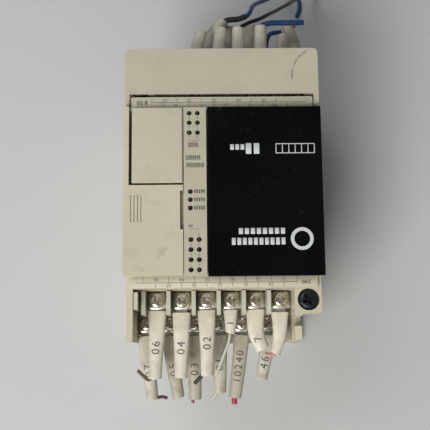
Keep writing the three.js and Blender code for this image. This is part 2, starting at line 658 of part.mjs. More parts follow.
function bulkCapacitor() {
  const profile = [[0, 15.9], [8, 15.9], [8, 17.6], [7.6, 18.2], [8, 18.8], [8, 40.2], [7.2, 41], [0, 41]];
  const can = new THREE.LatheGeometry(profile.map(([r, z]) => new THREE.Vector2(r, z)), 20);
  return solidOf(can.rotateX(Math.PI / 2).translate(-16, 2, 0));
}

node('power_board', slab(notched(2.6), [14, 15.6]), BOARD);
node('power_transformer', powerTransformer(), BLACK);
node('bulk_capacitor', bulkCapacitor(), BLACK);
node('main_board', box([-27.6, 27.6], [-23.3, 23.3], [50, 51.6]), BOARD);
node('processor_chip', box([4, 18], [-6, 8], [51.9, 53.4]), BLACK);

// ---------------------------------------------------------------- under the port lid

const SOCKET = { x: -19.8, y: 17.8, half: 6.6, top: 65, bore: 4.6 };
const SWITCH = { x: -23.7, y0: 4.3, travel: 3 };
const DIALS = [-18.7, -14.9];
const DIAL_Y = 6.4;

function portSocket() {
  const { x, y, half, top, bore } = SOCKET;
  const body = box([x - half, x + half], [y - half, y + half], [PORT.floor + GAP, top]);
  return cut(body, rod(x, y, bore, [60.1, top + 1], 24));
}

function runSwitchBody() {
  const body = box([SWITCH.x - 2.2, SWITCH.x + 2.2], [3.2, 10], [PORT.floor + GAP, 62.6]);
  const slot = box([SWITCH.x - 1.1, SWITCH.x + 1.1], [SWITCH.y0 - GAP, SWITCH.y0 + 5.1], [60.6, 64]);
  return cut(body, slot);
}

function runSwitchLever() {
  return box([SWITCH.x - 0.8, SWITCH.x + 0.8], [SWITCH.y0, SWITCH.y0 + 1.8], [60.9, 64.8]);
}

function gainDial(x) {
  const top = DIAL_PAD.top + GAP + 1.9;
  const disc = rod(x, DIAL_Y, 1.6, [DIAL_PAD.top + GAP, top], 18);
  return cut(disc, box([x - 0.3, x + 0.3], [DIAL_Y - 1.2, DIAL_Y + 1.2], [top - 0.6, top + 1]));
}

node('port_socket', portSocket(), BLACK);
node('run_switch_body', runSwitchBody(), BLACK);
node('run_switch_lever', runSwitchLever(), BEIGE);
DIALS.forEach((x, i) => node(`gain_dial_${i + 1}`, gainDial(x), BEIGE));

export default controller;
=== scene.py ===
# %% [markdown]
# # A small programmable controller, with its cut leads still on
#
# This lesson dresses a finished CAD model: a beige controller that lies on its back, with two rows of
# screw terminals at each end. The CAD model holds every size and every hinge, so nothing here moves or
# resizes it. We add what CAD leaves out: soft edges, real screw heads, sleeves with folds in them,
# print, and materials with wear. Blender works in metres and +Z is up, out of the front face. Shapes
# are written in millimetres, because that is how a maker reads them, and are scaled once at the end.

# %% Load the frame
import math
import random
import bmesh
import bpy
from mathutils import Euler, Matrix, Vector, noise


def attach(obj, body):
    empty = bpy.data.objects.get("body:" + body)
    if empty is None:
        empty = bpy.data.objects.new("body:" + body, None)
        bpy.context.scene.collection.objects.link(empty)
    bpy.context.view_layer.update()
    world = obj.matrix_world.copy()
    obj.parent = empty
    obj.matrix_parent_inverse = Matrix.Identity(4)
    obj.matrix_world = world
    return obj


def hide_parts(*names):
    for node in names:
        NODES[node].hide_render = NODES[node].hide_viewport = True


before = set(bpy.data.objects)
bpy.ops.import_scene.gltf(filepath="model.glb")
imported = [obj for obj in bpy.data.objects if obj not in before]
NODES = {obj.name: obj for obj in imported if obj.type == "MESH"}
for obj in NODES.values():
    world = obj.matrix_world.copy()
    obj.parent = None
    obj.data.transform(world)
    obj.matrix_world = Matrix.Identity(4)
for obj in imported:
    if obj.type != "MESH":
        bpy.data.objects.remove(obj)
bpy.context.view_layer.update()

MM = 0.001

# %% [markdown]
# ## Camera, floor and light
#
# The module lies on its back on a bench and is seen from above, a little from its input side. We
# place the camera by the point it stands at and the three small turns it has from looking straight
# down. The floor is plain and pale. A large soft lamp at the lower left gives the short shadow on the
# right. A low one at the front puts the bright rims on the screw heads, a third one fills from behind,
# and a dim even sky does the rest. None of them stands where the glossy nameplate would mirror it.

# %% Camera
camera_data = bpy.data.cameras.new("camera")
camera = bpy.data.objects.new("camera", camera_data)
bpy.context.scene.collection.objects.link(camera)
CAMERA_PLACE = Vector((-5.7, -49.0, 330.5)) * MM
CAMERA_TURNS = [math.radians(a) for a in (-9.98, 0.96, 0.48)]
camera.matrix_world = Matrix.Translation(CAMERA_PLACE) @ Euler(CAMERA_TURNS).to_matrix().transposed().to_4x4()
camera_data.sensor_width = 36.0
camera_data.lens = 72.77
camera_data.shift_x = -0.0088
camera_data.shift_y = -0.0298
camera_data.clip_start = 0.01
bpy.context.scene.camera = camera
bpy.context.scene.view_settings.view_transform = "Standard"
print("camera at", [round(v / MM) for v in CAMERA_PLACE], "mm")

# %% Floor, sky and lamps
FLOOR_HALF = 1.5
floor_mesh = bpy.data.meshes.new("floor")
corners = [(x * FLOOR_HALF, y * FLOOR_HALF, 0) for x, y in ((-1, -1), (1, -1), (1, 1), (-1, 1))]
floor_mesh.from_pydata(corners, [], [(0, 1, 2, 3)])
floor = bpy.data.objects.new("floor", floor_mesh)
bpy.context.scene.collection.objects.link(floor)

world = bpy.data.worlds.new("sky")
bpy.context.scene.world = world
world.use_nodes = True
world.node_tree.nodes["Background"].inputs["Color"].default_value = (0.94, 0.97, 1.0, 1)
world.node_tree.nodes["Background"].inputs["Strength"].default_value = 0.11


def lamp(name, place, size, watts, colour):
    """A square soft lamp that points at the middle of the module."""
    data = bpy.data.lights.new(name, "AREA")
    data.size = size
    data.energy = watts
    data.color = colour
    lamp_object = bpy.data.objects.new(name, data)
    aim = Vector((0, 0, 0.06)) - Vector(place)
    lamp_object.matrix_world = Matrix.Translation(place) @ aim.to_track_quat("-Z", "Y").to_matrix().to_4x4()
    bpy.context.scene.collection.objects.link(lamp_object)
    print(name, "gives", watts, "W from", place)
    return lamp_object


lamp("window", (-0.34, -0.54, 0.78), 0.45, 7.3, (1.0, 0.98, 0.94))
lamp("bench", (-0.20, -0.85, 0.38), 0.8, 1.9, (1.0, 0.98, 0.95))
lamp("ceiling", (-0.42, 0.46, 0.95), 0.5, 3.0, (0.95, 0.98, 1.0))

# %% [markdown]
# ## The two free wires
#
# A black and a blue wire leave the cut leads at the output side and run down to the table. They are
# thin hook-up wires, so they hold a curve but sink under their own weight. Each is a curve object with
# a round section, as wide as each point's own radius: that gives an even tube with no work. The points
# are the ones that the CAD wires follow. We run a smooth curve through them, because a wire has no
# corners.

# %% A smooth line through points
def smooth_line(points, steps=8):
    """A centripetal Catmull-Rom line through the points, so that it never loops between them."""
    points = [Vector(p) for p in points]
    ends = [points[0] * 2 - points[1], *points, points[-1] * 2 - points[-2]]
    line = []
    for p0, p1, p2, p3 in zip(ends, ends[1:], ends[2:], ends[3:]):
        t1 = (p1 - p0).length ** 0.5
        t2 = t1 + (p2 - p1).length ** 0.5
        t3 = t2 + (p3 - p2).length ** 0.5
        for k in range(steps):
            t = t1 + (t2 - t1) * k / steps
            a1 = p0.lerp(p1, t / t1)
            a2 = p1.lerp(p2, (t - t1) / (t2 - t1))
            a3 = p2.lerp(p3, (t - t2) / (t3 - t2))
            b1 = a1.lerp(a2, t / t2)
            b2 = a2.lerp(a3, (t - t1) / (t3 - t1))
            line.append(b1.lerp(b2, (t - t1) / (t2 - t1)))
    return [*line, points[-1]]


def line_length(line):
    return sum((b - a).length for a, b in zip(line, line[1:]))


# %% The wires' routes
BLACK_ROUTE = [
    (6.9, 58.1, 56.9), (9.6, 59.7, 56.4), (13.5, 62.0, 54.2), (16.6, 64.8, 51.0), (19.3, 67.6, 47.0),
    (22.6, 71.2, 42.2), (25.6, 74.8, 37.0), (28.0, 78.2, 31.6), (30.2, 82.2, 24.4), (33.0, 86.6, 15.4),
    (36.2, 90.8, 7.4), (39.8, 94.8, 2.2), (43.4, 98.2, 0.8), (47.0, 101.4, 0.7),
]
BLUE_ROUTE = [
    (9.6, 65.0, 49.8), (10.5, 66.5, 48.8), (11.3, 69.2, 46.4), (12.6, 71.8, 43.0), (14.8, 74.4, 39.0),
    (17.8, 77.6, 34.0), (20.6, 81.6, 26.8), (23.2, 86.4, 17.2), (25.8, 91.0, 8.2), (28.6, 94.4, 2.4),
    (31.2, 94.6, 0.9), (32.8, 91.6, 0.8), (33.1, 87.8, 0.8), (31.9, 84.0, 0.8),
]


def free_wire(name, route, diameter, node):
    """A free wire along a route in millimetres, whose real length is printed."""
    line = smooth_line([Vector(p) * MM for p in route])
    curve = bpy.data.curves.new(name, "CURVE")
    curve.dimensions = "3D"
    curve.bevel_depth = 1.0
    curve.bevel_resolution = 5
    curve.use_fill_caps = True
    spline = curve.splines.new("POLY")
    spline.points.add(len(line) - 1)
    for point, place in zip(spline.points, line):
        point.co = (*place, 1)
        point.radius = diameter / 2
    piece = bpy.data.objects.new(name, curve)
    bpy.context.scene.collection.objects.link(piece)
    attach(piece, "case")
    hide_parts(node)
    length = line_length(line)
    print(name, "is", round(length / MM), "mm long")
    return piece


black_wire = free_wire("black_lead_wire", BLACK_ROUTE, 1.3 * MM, "black_wire")
blue_wire = free_wire("blue_lead_wire", BLUE_ROUTE, 1.5 * MM, "blue_wire")

# %% [markdown]
# ## Writing shader maths as sums
#
# A material is a net of nodes. Wiring each Math node by hand is long to write and hard to read, so a
# small class wraps one socket and lets Python's own signs add the nodes: `1 - mask` becomes a Math node
# that subtracts. Everything else goes through one method, `Finish.node`, which sets a node's settings
# first and then its inputs.

# %% The two classes
class Signal:
    """One output socket of a material, so that sums on it add Math nodes."""

    def __init__(self, finish, socket):
        self.finish = finish
        self.socket = socket

    def maths(self, operation, first, second=0.0):
        return self.finish.node("ShaderNodeMath", {"operation": operation}, {0: first, 1: second})

    def __add__(self, other):
        return self.maths("ADD", self, other)

    def __sub__(self, other):
        return self.maths("SUBTRACT", self, other)

    def __rsub__(self, other):
        return self.maths("SUBTRACT", other, self)

    def __mul__(self, other):
        return self.maths("MULTIPLY", self, other)

    def __abs__(self):
        return self.maths("ABSOLUTE", self)

    __radd__ = __add__
    __rmul__ = __mul__


class Finish:
    """A material that is built up node by node round one Principled shader."""

    def __init__(self, name, **constants):
        self.material = bpy.data.materials.new(name)
        self.material.use_nodes = True
        self.tree = self.material.node_tree
        self.shader = self.tree.nodes["Principled BSDF"]
        for socket, value in constants.items():
            self.shader.inputs[socket.replace("_", " ")].default_value = value
        self.place = self.node("ShaderNodeTexCoord", {}, {}, output="Object")

    def node(self, kind, settings, inputs, output=0):
        """Adds a node: its settings first, then a value or a Signal for each input."""
        made = self.tree.nodes.new(kind)
        for setting, value in settings.items():
            setattr(made, setting, value)
        for key, value in inputs.items():
            if isinstance(value, Signal):
                self.tree.links.new(value.socket, made.inputs[key])
            else:
                made.inputs[key].default_value = value
        return Signal(self, made.outputs[output])

    def noise(self, size, detail=2.0, stretch=(1, 1, 1)):
        """Cloudy values from 0 to 1. The size of a cloud is in metres."""
        scaled = self.node("ShaderNodeVectorMath", {"operation": "MULTIPLY"}, {0: self.place, 1: stretch})
        return self.node("ShaderNodeTexNoise", {}, {"Vector": scaled, "Scale": 1 / size, "Detail": detail})

    def ramp(self, value, low, high):
        """0 below low, 1 above high, and a straight slope between them."""
        inputs = {"Value": value, "From Min": low, "From Max": high}
        return self.node("ShaderNodeMapRange", {"clamp": True}, inputs)

    def mix(self, share, first, second):
        """A colour between two colours, by a share from 0 to 1."""
        inputs = {0: share, 6: first, 7: second}
        return self.node("ShaderNodeMix", {"data_type": "RGBA"}, inputs, output=2)

    def along(self, axis):
        """The place along X, Y or Z, in metres."""
        return self.node("ShaderNodeSeparateXYZ", {}, {0: self.place}, output=axis)

    def circle_line(self, centre, radius, width):
        """1 on a circle drawn from above and 0 away from its line. Sizes are in metres."""
        flat = self.node("ShaderNodeVectorMath", {"operation": "MULTIPLY"}, {0: self.place, 1: (1, 1, 0)})
        inputs = {0: flat, 1: (*centre, 0)}
        far = self.node("ShaderNodeVectorMath", {"operation": "DISTANCE"}, inputs, output="Value")
        return 1 - self.ramp(abs(far - radius), width * 0.3, width)

    def feed(self, socket, signal):
        self.tree.links.new(signal.socket, self.shader.inputs[socket])

    def bump(self, height, depth):
        """Raises the surface by height times depth, in metres."""
        values = {"Height": height, "Distance": depth}
        self.feed("Normal", self.node("ShaderNodeBump", {}, values, output="Normal"))


def linear(red, green, blue):
    """The shader's own numbers for a colour read from a paint chart, as 0 to 255."""
    parts = [v / 255 for v in (red, green, blue)]
    return (*[v / 12.92 if v <= 0.04045 else ((v + 0.055) / 1.055) ** 2.4 for v in parts], 1)


def shade(colour, factor):
    """The same colour, lighter or darker."""
    return (*[min(1.0, v * factor) for v in colour[:3]], 1)


# %% [markdown]
# ## Moulded plastic
#
# The case is ABS, moulded in a spark-eroded tool, which leaves a fine even grain. Years in a cabinet
# have yellowed it in soft clouds, left a little dirt, and rubbed its edges. So the colour is a mix of
# two close beiges by a large noise, with rare specks and faint smudges. The grain is a bump of a
# quarter of a millimetre, and the gloss changes with the smudges. One function makes every shade. The
# rounded edges of a piece get a smoother version of it, which is what handling does to them, in a
# lighter colour that is a painted highlight where the edges catch the light.

# %% Plastic
GRAIN = 0.00025


def plastic(name, colour, aged=0.93, smudge=0.35, roughness=0.5, scuff=False):
    """Moulded plastic, aged in clouds to a darker shade, with grain, smudges and specks."""
    finish = Finish(name, Specular_IOR_Level=0.35)
    clouds = finish.ramp(finish.noise(0.028, 3.0), 0.35, 0.68)
    base = finish.mix(clouds, colour, shade(colour, aged))
    smears = finish.ramp(finish.noise(0.011, 4.0, (1.0, 1.7, 1.0)), 0.56, 0.8) * smudge
    base = finish.mix(smears, base, shade(colour, 0.6))
    marks = finish.ramp(finish.noise(0.0042, 3.0, (1.0, 0.8, 1.0)), 0.655, 0.74)
    base = finish.mix(marks * smudge * 0.55, base, shade(colour, 0.45))
    specks = finish.ramp(finish.noise(0.0011, 1.0), 0.76, 0.82)
    specks = specks * finish.ramp(finish.noise(0.009, 1.0), 0.5, 0.6)
    base = finish.mix(specks * 0.7, base, shade(colour, 0.18))
    if scuff:
        worn = finish.circle_line((0.03109, 0.03588), 0.00931, 0.00042)
        worn = worn * finish.ramp(finish.noise(0.0012), 0.36, 0.5)
        worn = worn * finish.ramp(finish.along("Y"), 0.034, 0.0356)
        worn = worn * (1 - finish.ramp(finish.along("X"), 0.0262, 0.0275)) * 0.62
        base = finish.mix(worn, base, shade(colour, 0.25))
    finish.feed("Base Color", base)
    finish.feed("Roughness", clouds * -0.06 + roughness + smears * 0.25)
    finish.bump(finish.noise(GRAIN, 1.0), 0.000012)
    return finish.material


def plastic_pair(name, colour, **looks):
    """A plastic and a smoother, rubbed version of it for rounded edges, lighter as a painted highlight."""
    gloss = looks.get("roughness", 0.5) - 0.1
    # The edge copy: less rough from handling, and 1.1 times lighter as a painted edge highlight.
    return [plastic(name, colour, **looks), plastic(name + "_rubbed_lit_edge", shade(colour, 1.1), roughness=gloss)]


CASE_BEIGE = linear(203, 197, 175)
case_plastic = plastic_pair("case_plastic", CASE_BEIGE)
lid_plastic = plastic_pair("lid_plastic", shade(CASE_BEIGE, 0.93))
pull_plastic = plastic_pair("pull_plastic", shade(CASE_BEIGE, 0.98), smudge=0.55)
output_plastic = plastic_pair("output_plastic", shade(CASE_BEIGE, 0.88), smudge=0.25, scuff=True)
strip_plastic = plastic_pair("strip_plastic", shade(CASE_BEIGE, 0.84))
terminal_plastic = plastic_pair("terminal_plastic", linear(197, 195, 179), roughness=0.42)
black_plastic = plastic_pair("black_plastic", linear(34, 35, 36), roughness=0.42, smudge=0.1)
dial_plastic = plastic_pair("dial_plastic", linear(214, 212, 200), roughness=0.38)
print("made eight shades of plastic")

# %% [markdown]
# ## The other finishes
#
# The nameplate is a glossy black film: almost all of its look is what it reflects, so its colour is
# nearly black, and a little dust and hairline scratches break the gloss. Screws are nickel on steel,
# which dulls in patches. Sleeves are soft vinyl tube that picks up grey dirt along its length. The
# lower row's sleeves get a darker copy, which also paints the shade that falls on them under the
# upper row. Each gets its own short function, so that its detail is at its own scale.

# %% Gloss black, metal, vinyl, ink and circuit board
def gloss_black():
    finish = Finish("nameplate_gloss", Specular_IOR_Level=0.22)
    dust = finish.ramp(finish.noise(0.0016, 5.0), 0.62, 0.86)
    hairs = finish.ramp(finish.noise(0.0007, 2.0, (9.0, 0.35, 1.0)), 0.66, 0.74)
    haze = finish.ramp(finish.noise(0.030, 2.0), 0.35, 0.75)
    base = finish.mix(haze, (0.0012, 0.0015, 0.0020, 1), (0.0028, 0.0034, 0.0042, 1))
    finish.feed("Base Color", finish.mix(dust * 0.05 + hairs * 0.03, base, (0.22, 0.22, 0.2, 1)))
    finish.feed("Roughness", dust * 0.2 + hairs * 0.15 + haze * 0.08 + 0.16)
    finish.bump(finish.noise(0.006, 2.0), 0.00003)
    return finish.material


def metal(name, colour, roughness, tarnish=0.5, metallic=1.0):
    """Plated metal with dull patches, fine turning marks and dirt."""
    finish = Finish(name, Metallic=metallic)
    patches = finish.ramp(finish.noise(0.0016, 4.0), 0.45, 0.72)
    grime = finish.ramp(finish.noise(0.0007, 3.0), 0.58, 0.75) * tarnish
    base = finish.mix(patches * tarnish, colour, shade(colour, 0.55))
    finish.feed("Base Color", finish.mix(grime * 0.6, base, shade(colour, 0.2)))
    finish.feed("Roughness", patches * 0.16 + grime * 0.25 + roughness)
    finish.bump(finish.noise(0.0003, 2.0), 0.000010)
    return finish.material


def vinyl(name, colour, roughness=0.38):
    """Soft wire insulation: an even colour with a dusty bloom and small dents."""
    finish = Finish(name, Specular_IOR_Level=0.4)
    bloom = finish.ramp(finish.noise(0.0035, 4.0), 0.48, 0.75)
    pale = tuple(0.9 * v + 0.035 for v in colour[:3]) + (1,)
    finish.feed("Base Color", finish.mix(bloom * 0.7, colour, pale))
    finish.feed("Roughness", bloom * 0.25 + roughness)
    finish.bump(finish.noise(0.0011, 2.0), 0.00004)
    return finish.material


def sleeve_vinyl(name, colour, dirt):
    """Marker sleeve: off-white vinyl with long grey streaks, smudges and faint wrinkles."""
    finish = Finish(name, Specular_IOR_Level=0.4)
    streaks = finish.ramp(finish.noise(0.0021, 4.0, (1.0, 0.22, 1.0)), 0.42, 0.75)
    smudges = finish.ramp(finish.noise(0.0042, 5.0), 0.5, 0.74)
    base = finish.mix(streaks * dirt, colour, shade(colour, 0.62))
    finish.feed("Base Color", finish.mix(smudges * dirt * 0.8, base, (0.20, 0.18, 0.13, 1)))
    finish.feed("Roughness", smudges * 0.2 + 0.42)
    finish.bump(finish.noise(0.0016, 3.0, (1.0, 0.4, 1.0)), 0.00006)
    return finish.material


def ink(name, colour, faded=0.35):
    """Printed ink that has rubbed thin in places."""
    finish = Finish(name, Roughness=0.55)
    thin = finish.ramp(finish.noise(0.0006, 3.0), 0.45, 0.7) * faded
    finish.feed("Base Color", finish.mix(thin, colour, (0.42, 0.40, 0.33, 1)))
    return finish.material


def circuit_board():
    """Green solder mask over a woven board, with the squares of its copper showing through."""
    finish = Finish("circuit_board", Specular_IOR_Level=0.5)
    grid = {"Vector": finish.place, "Scale": 160.0, "Mortar Size": 0.03}
    tracks = finish.node("ShaderNodeTexBrick", {}, grid)
    weave = finish.noise(0.0006, 2.0)
    base = finish.mix(weave, (0.010, 0.075, 0.032, 1), (0.016, 0.105, 0.045, 1))
    finish.feed("Base Color", finish.mix(finish.ramp(tracks, 0.4, 0.6) * 0.35, base, (0.03, 0.19, 0.08, 1)))
    finish.feed("Roughness", weave * 0.2 + 0.25)
    finish.bump(tracks, 0.00003)
    return finish.material


nameplate_gloss = gloss_black()
nickel = metal("nickel", (0.74, 0.70, 0.61, 1), 0.25)
clamp_steel = metal("clamp_steel", (0.62, 0.58, 0.50, 1), 0.34, 0.75)
tinned = metal("tinned_lug", (0.70, 0.68, 0.64, 1), 0.32)
copper = metal("copper_strands", (0.80, 0.42, 0.24, 1), 0.35)
brass = metal("brass_pin", (0.80, 0.62, 0.30, 1), 0.28, 0.3)
black_oxide = metal("black_oxide", (0.022, 0.026, 0.032, 1), 0.34, 0.4, 0.55)
smoked_lens = vinyl("smoked_lens", (0.012, 0.012, 0.010, 1), 0.12)
sleeve_white = sleeve_vinyl("sleeve_white", linear(218, 212, 195), 0.34)
# Darker copy for the lower row: more dirt, and painted shade from the upper row above it.
sleeve_grey_shaded = sleeve_vinyl("sleeve_grey_shaded", linear(202, 197, 180), 0.62)
# A still darker copy with heavier streaks, given to six of the leads below.
sleeve_dull = sleeve_vinyl("sleeve_dull", linear(184, 178, 160), 0.60)
ink_black = ink("ink_black", (0.018, 0.018, 0.022, 1))
ink_grey = ink("ink_grey", (0.11, 0.105, 0.09, 1), 0.3)
ink_silver = ink("ink_silver", linear(206, 209, 212), 0.12)
board_green = circuit_board()
INSULATION = {
    name: vinyl(name + "_vinyl", (*colour, 1)) for name, colour in {
        "black": (0.006, 0.006, 0.007), "blue": (0.007, 0.050, 0.165), "brown": (0.11, 0.055, 0.03),
        "olive": (0.020, 0.024, 0.016), "white": (0.60, 0.59, 0.52), "pink": (0.55, 0.26, 0.24),
        "maroon": (0.085, 0.018, 0.015), "red": (0.42, 0.03, 0.06), "mauve": (0.17, 0.08, 0.10),
    }.items()
}
black_wire.data.materials.append(INSULATION["black"])
blue_wire.data.materials.append(INSULATION["blue"])
print(len(bpy.data.materials), "materials so far")

# %% Floor finish
floor_finish = Finish("floor_paint", Specular_IOR_Level=0.2, Roughness=0.8)
floor_clouds = floor_finish.noise(0.35, 2.0)
floor_finish.feed("Base Color", floor_finish.mix(floor_clouds, linear(196, 197, 198), linear(204, 205, 206)))
floor_mesh.materials.append(floor_finish.material)

# %% [markdown]
# ## CAD pieces that keep their shape
#
# The cases, covers and blocks already have their right shapes, but CAD edges are perfectly sharp, and
# nothing moulded is. A Weld and a planar Decimate clean the triangles, then a Bevel rounds each edge by
# a few tenths of a millimetre, which is what catches the light. The Bevel gives its new faces the
# rubbed plastic, whose lighter colour is a painted highlight. Modifiers do all this without changing
# the CAD mesh itself.

# %% Soft edges on CAD pieces
def soften(node, materials, radius, segments=3):
    """Rounds a CAD piece's edges by radius, in millimetres, and gives it its materials."""
    piece = NODES[node]
    weld = piece.modifiers.new("weld", "WELD")
    weld.merge_threshold = 0.00001
    flat = piece.modifiers.new("flat", "DECIMATE")
    flat.decimate_type = "DISSOLVE"
    flat.angle_limit = math.radians(1)
    bevel = piece.modifiers.new("bevel", "BEVEL")
    bevel.width = radius * MM
    bevel.segments = segments
    bevel.limit_method = "ANGLE"
    bevel.angle_limit = math.radians(35)
    # The bevel faces take the last material: the rubbed copy, with its painted edge highlight.
    bevel.material = len(materials) - 1
    for polygon in piece.data.polygons:
        polygon.use_smooth = True
    normals = piece.modifiers.new("normals", "WEIGHTED_NORMAL")
    normals.keep_sharp = True
    piece.data.materials.clear()
    for material in materials:
        piece.data.materials.append(material)
    return piece


soften("front_case", case_plastic, 0.3)
soften("rear_case", case_plastic, 0.3)
soften("rail_hook", case_plastic, 0.25)
soften("output_cover", output_plastic, 0.35)
soften("port_lid", lid_plastic, 0.18)
soften("expansion_cover", pull_plastic, 0.16)
soften("indicator_strip", strip_plastic, 0.08, 2)
soften("input_block", terminal_plastic, 0.2)
soften("output_block", terminal_plastic, 0.2)
soften("nameplate_cover", [nameplate_gloss], 0.2)
soften("light_guide", [smoked_lens], 0.05, 2)
soften("port_socket", black_plastic, 0.25)
soften("run_switch_body", black_plastic, 0.15)
soften("run_switch_lever", dial_plastic, 0.2)
soften("gain_dial_1", dial_plastic, 0.1)
soften("gain_dial_2", dial_plastic, 0.1)
soften("power_board", [board_green], 0.08, 2)
soften("main_board", [board_green], 0.08, 2)
soften("processor_chip", black_plastic, 0.15)
soften("bulk_capacitor", black_plastic, 0.3)
soften("power_transformer", black_plastic, 0.4)
print("softened", sum(1 for node in NODES.values() if node.modifiers), "CAD pieces")

# %% [markdown]
# ## Tools for new pieces
#
# Most new pieces are rings of points skinned with quads: a screw is rings round an axis, a plate is
# rings of a chamfered outline, and a sleeve is rings along a line. So one function, `skin`, does the
# skinning, and a few short ones give it rings. `add_piece` turns the result into an object in metres
# and gives it to a body of the CAD model.

# %% Skin, plate, lathe and tube
def add_piece(name, shape, materials, stands_for=(), body="case"):
    """Makes a piece, in metres, of a shape in millimetres, and lets it ride on a body."""
    bmesh.ops.recalc_face_normals(shape, faces=shape.faces)
    bmesh.ops.scale(shape, vec=(MM, MM, MM), verts=shape.verts)
    mesh = bpy.data.meshes.new(name)
    shape.to_mesh(mesh)
    shape.free()
    for polygon in mesh.polygons:
        polygon.use_smooth = True
    mesh.set_sharp_from_angle(angle=math.radians(38))
    for material in materials:
        mesh.materials.append(material)
    piece = bpy.data.objects.new(name, mesh)
    bpy.context.scene.collection.objects.link(piece)
    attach(piece, body)
    if stands_for:
        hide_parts(*stands_for)
    return piece


def skin(shape, rings, material=0, capped=True):
    """Joins rings of points, one after the other, with quads, and closes both ends."""
    rows = [[shape.verts.new(point) for point in ring] for ring in rings]
    pairs = list(zip(rows, rows[1:])) if capped else list(zip(rows, rows[1:] + rows[:1]))
    for low, high in pairs:
        for i, vert in enumerate(low):
            j = (i + 1) % len(low)
            shape.faces.new((vert, low[j], high[j], high[i])).material_index = material
    if capped:
        for row in (rows[0], rows[-1]):
            shape.faces.new(row).material_index = material


def plate(shape, low, high, material=0, soft=0.1, clip=0.0):
    """A block between two corners, chamfered all round, with its upright corners clipped."""
    (x0, y0, z0), (x1, y1, z1) = low, high

    def ring(inset, z):
        a, b, c, d = x0 + inset, x1 - inset, y0 + inset, y1 - inset
        k = max(clip, soft)
        return [
            (a + k, c, z), (b - k, c, z), (b, c + k, z), (b, d - k, z),
            (b - k, d, z), (a + k, d, z), (a, d - k, z), (a, c + k, z),
        ]

    skin(shape, [ring(soft, z0), ring(0, z0 + soft), ring(0, z1 - soft), ring(soft, z1)], material)


def lathe(shape, profile, centre=(0, 0), material=0, sides=36, capped=True):
    """Turns a profile of (radius, height) pairs round an upright axis."""
    turns = [2 * math.pi * k / sides for k in range(sides)]
    rings = [
        [(centre[0] + r * math.cos(t), centre[1] + r * math.sin(t), z) for t in turns] for r, z in profile
    ]
    skin(shape, rings, material, capped)


def frames(line):
    """At each point of a line: the point and the directions across it, up from it and along it."""
    made = []
    for i, point in enumerate(line):
        along = (line[min(i + 1, len(line) - 1)] - line[max(i - 1, 0)]).normalized()
        across = along.cross(Vector((0, 0, 1))).normalized()
        made.append((point, across, across.cross(along), along))
    return made


def tube(shape, points, radius, material=0, core=0, sides=14):
    """A wire along points, with its copper standing a little proud at the cut end."""
    stations = frames(smooth_line(points, 6))
    turns = [2 * math.pi * k / sides for k in range(sides)]

    def ring(station, size, ahead=0.0):
        point, across, rise, along = station
        return [point + along * ahead + (across * math.cos(t) + rise * math.sin(t)) * size for t in turns]

    rings = [ring(station, radius) for station in stations]
    skin(shape, [*rings, ring(stations[-1], radius * 0.9, 0.06)], material)
    skin(shape, [ring(stations[-1], radius * 0.55, a) for a in (-0.3, 0.22)], core)


# %% [markdown]
# ## Cutting a driver recess
#
# A cross recess has sharp, sloping walls, so it is cut with a Boolean, as a punch cuts it. The edges
# that are left get a small Bevel. The modifiers run once on a throwaway object, and each screw then
# uses a copy of the result, turned by its own angle, because no two screws are left at the same one.

# %% Carve
def carve(body, cutter, soft):
    """Cuts one shape out of another and rounds the edges that are left."""
    made = []
    for label, shape in (("body", body), ("cutter", cutter)):
        bmesh.ops.recalc_face_normals(shape, faces=shape.faces)
        mesh = bpy.data.meshes.new(label)
        shape.to_mesh(mesh)
        shape.free()
        made.append(bpy.data.objects.new(label, mesh))
        bpy.context.scene.collection.objects.link(made[-1])
    cut = made[0].modifiers.new("cut", "BOOLEAN")
    cut.object = made[1]
    cut.solver = "EXACT"
    bevel = made[0].modifiers.new("bevel", "BEVEL")
    bevel.width = soft
    bevel.segments = 2
    bevel.limit_method = "ANGLE"
    bevel.angle_limit = math.radians(40)
    result = bmesh.new()
    result.from_object(made[0], bpy.context.evaluated_depsgraph_get())
    for item in made:
        mesh = item.data
        bpy.data.objects.remove(item)
        bpy.data.meshes.remove(mesh)
    return result


def cross_punch(top, reach, width, depth):
    """A cross that narrows as it goes down from top."""
    shape = bmesh.new()
    rings = []
    for z, long, wide in ((top - depth, 0.30, 0.62), (top, 1.0, 1.0), (top + 0.6, 1.0, 1.0)):
        a, b = reach * long, width * wide
        spots = [(a, b), (b, b), (b, a), (-b, a), (-b, b), (-a, b)]
        spots += [(-a, -b), (-b, -b), (-b, -a), (b, -a), (b, -b)]
        rings.append([(x, y, z) for x, y in [*spots, (a, -b)]])
    skin(shape, rings)
    return shape


def screw_head(radius, rim, crown, punch, shank, depth):
    """A pan-head screw with a cross recess, standing on z = 0."""
    shape = bmesh.new()
    arc = [math.radians(a) for a in (0, 15, 30, 45, 60, 72, 82, 88)]
    dome = [(radius * math.cos(a) ** 0.4, rim + (crown - rim) * math.sin(a)) for a in arc]
    lathe(shape, [(shank, -depth), (shank, 0), (radius * 0.96, 0), (radius, 0.1), *dome], sides=40)
    return carve(shape, cross_punch(crown, *punch), 0.05)


def turned_copy(shape, source, angle, place, material=0):
    """Adds a copy of a mesh to a shape, turned about Z and moved to its place."""
    start = len(shape.verts)
    faces = len(shape.faces)
    shape.from_mesh(source)
    shape.verts.ensure_lookup_table()
    shape.faces.ensure_lookup_table()
    bmesh.ops.transform(
        shape, matrix=Matrix.Translation(place) @ Matrix.Rotation(angle, 4, "Z"), verts=shape.verts[start:]
    )
    for face in shape.faces[faces:]:
        face.material_index = material


# %% [markdown]
# ## Terminal screws
#
# Each terminal has a pan-head screw with a captive square washer, and a steel plate under it that is
# folded down over the block's edge. The CAD has the twelve input screws; the output side hides under
# its cover and gets its twelve here. All places come from the pitch of the terminals.

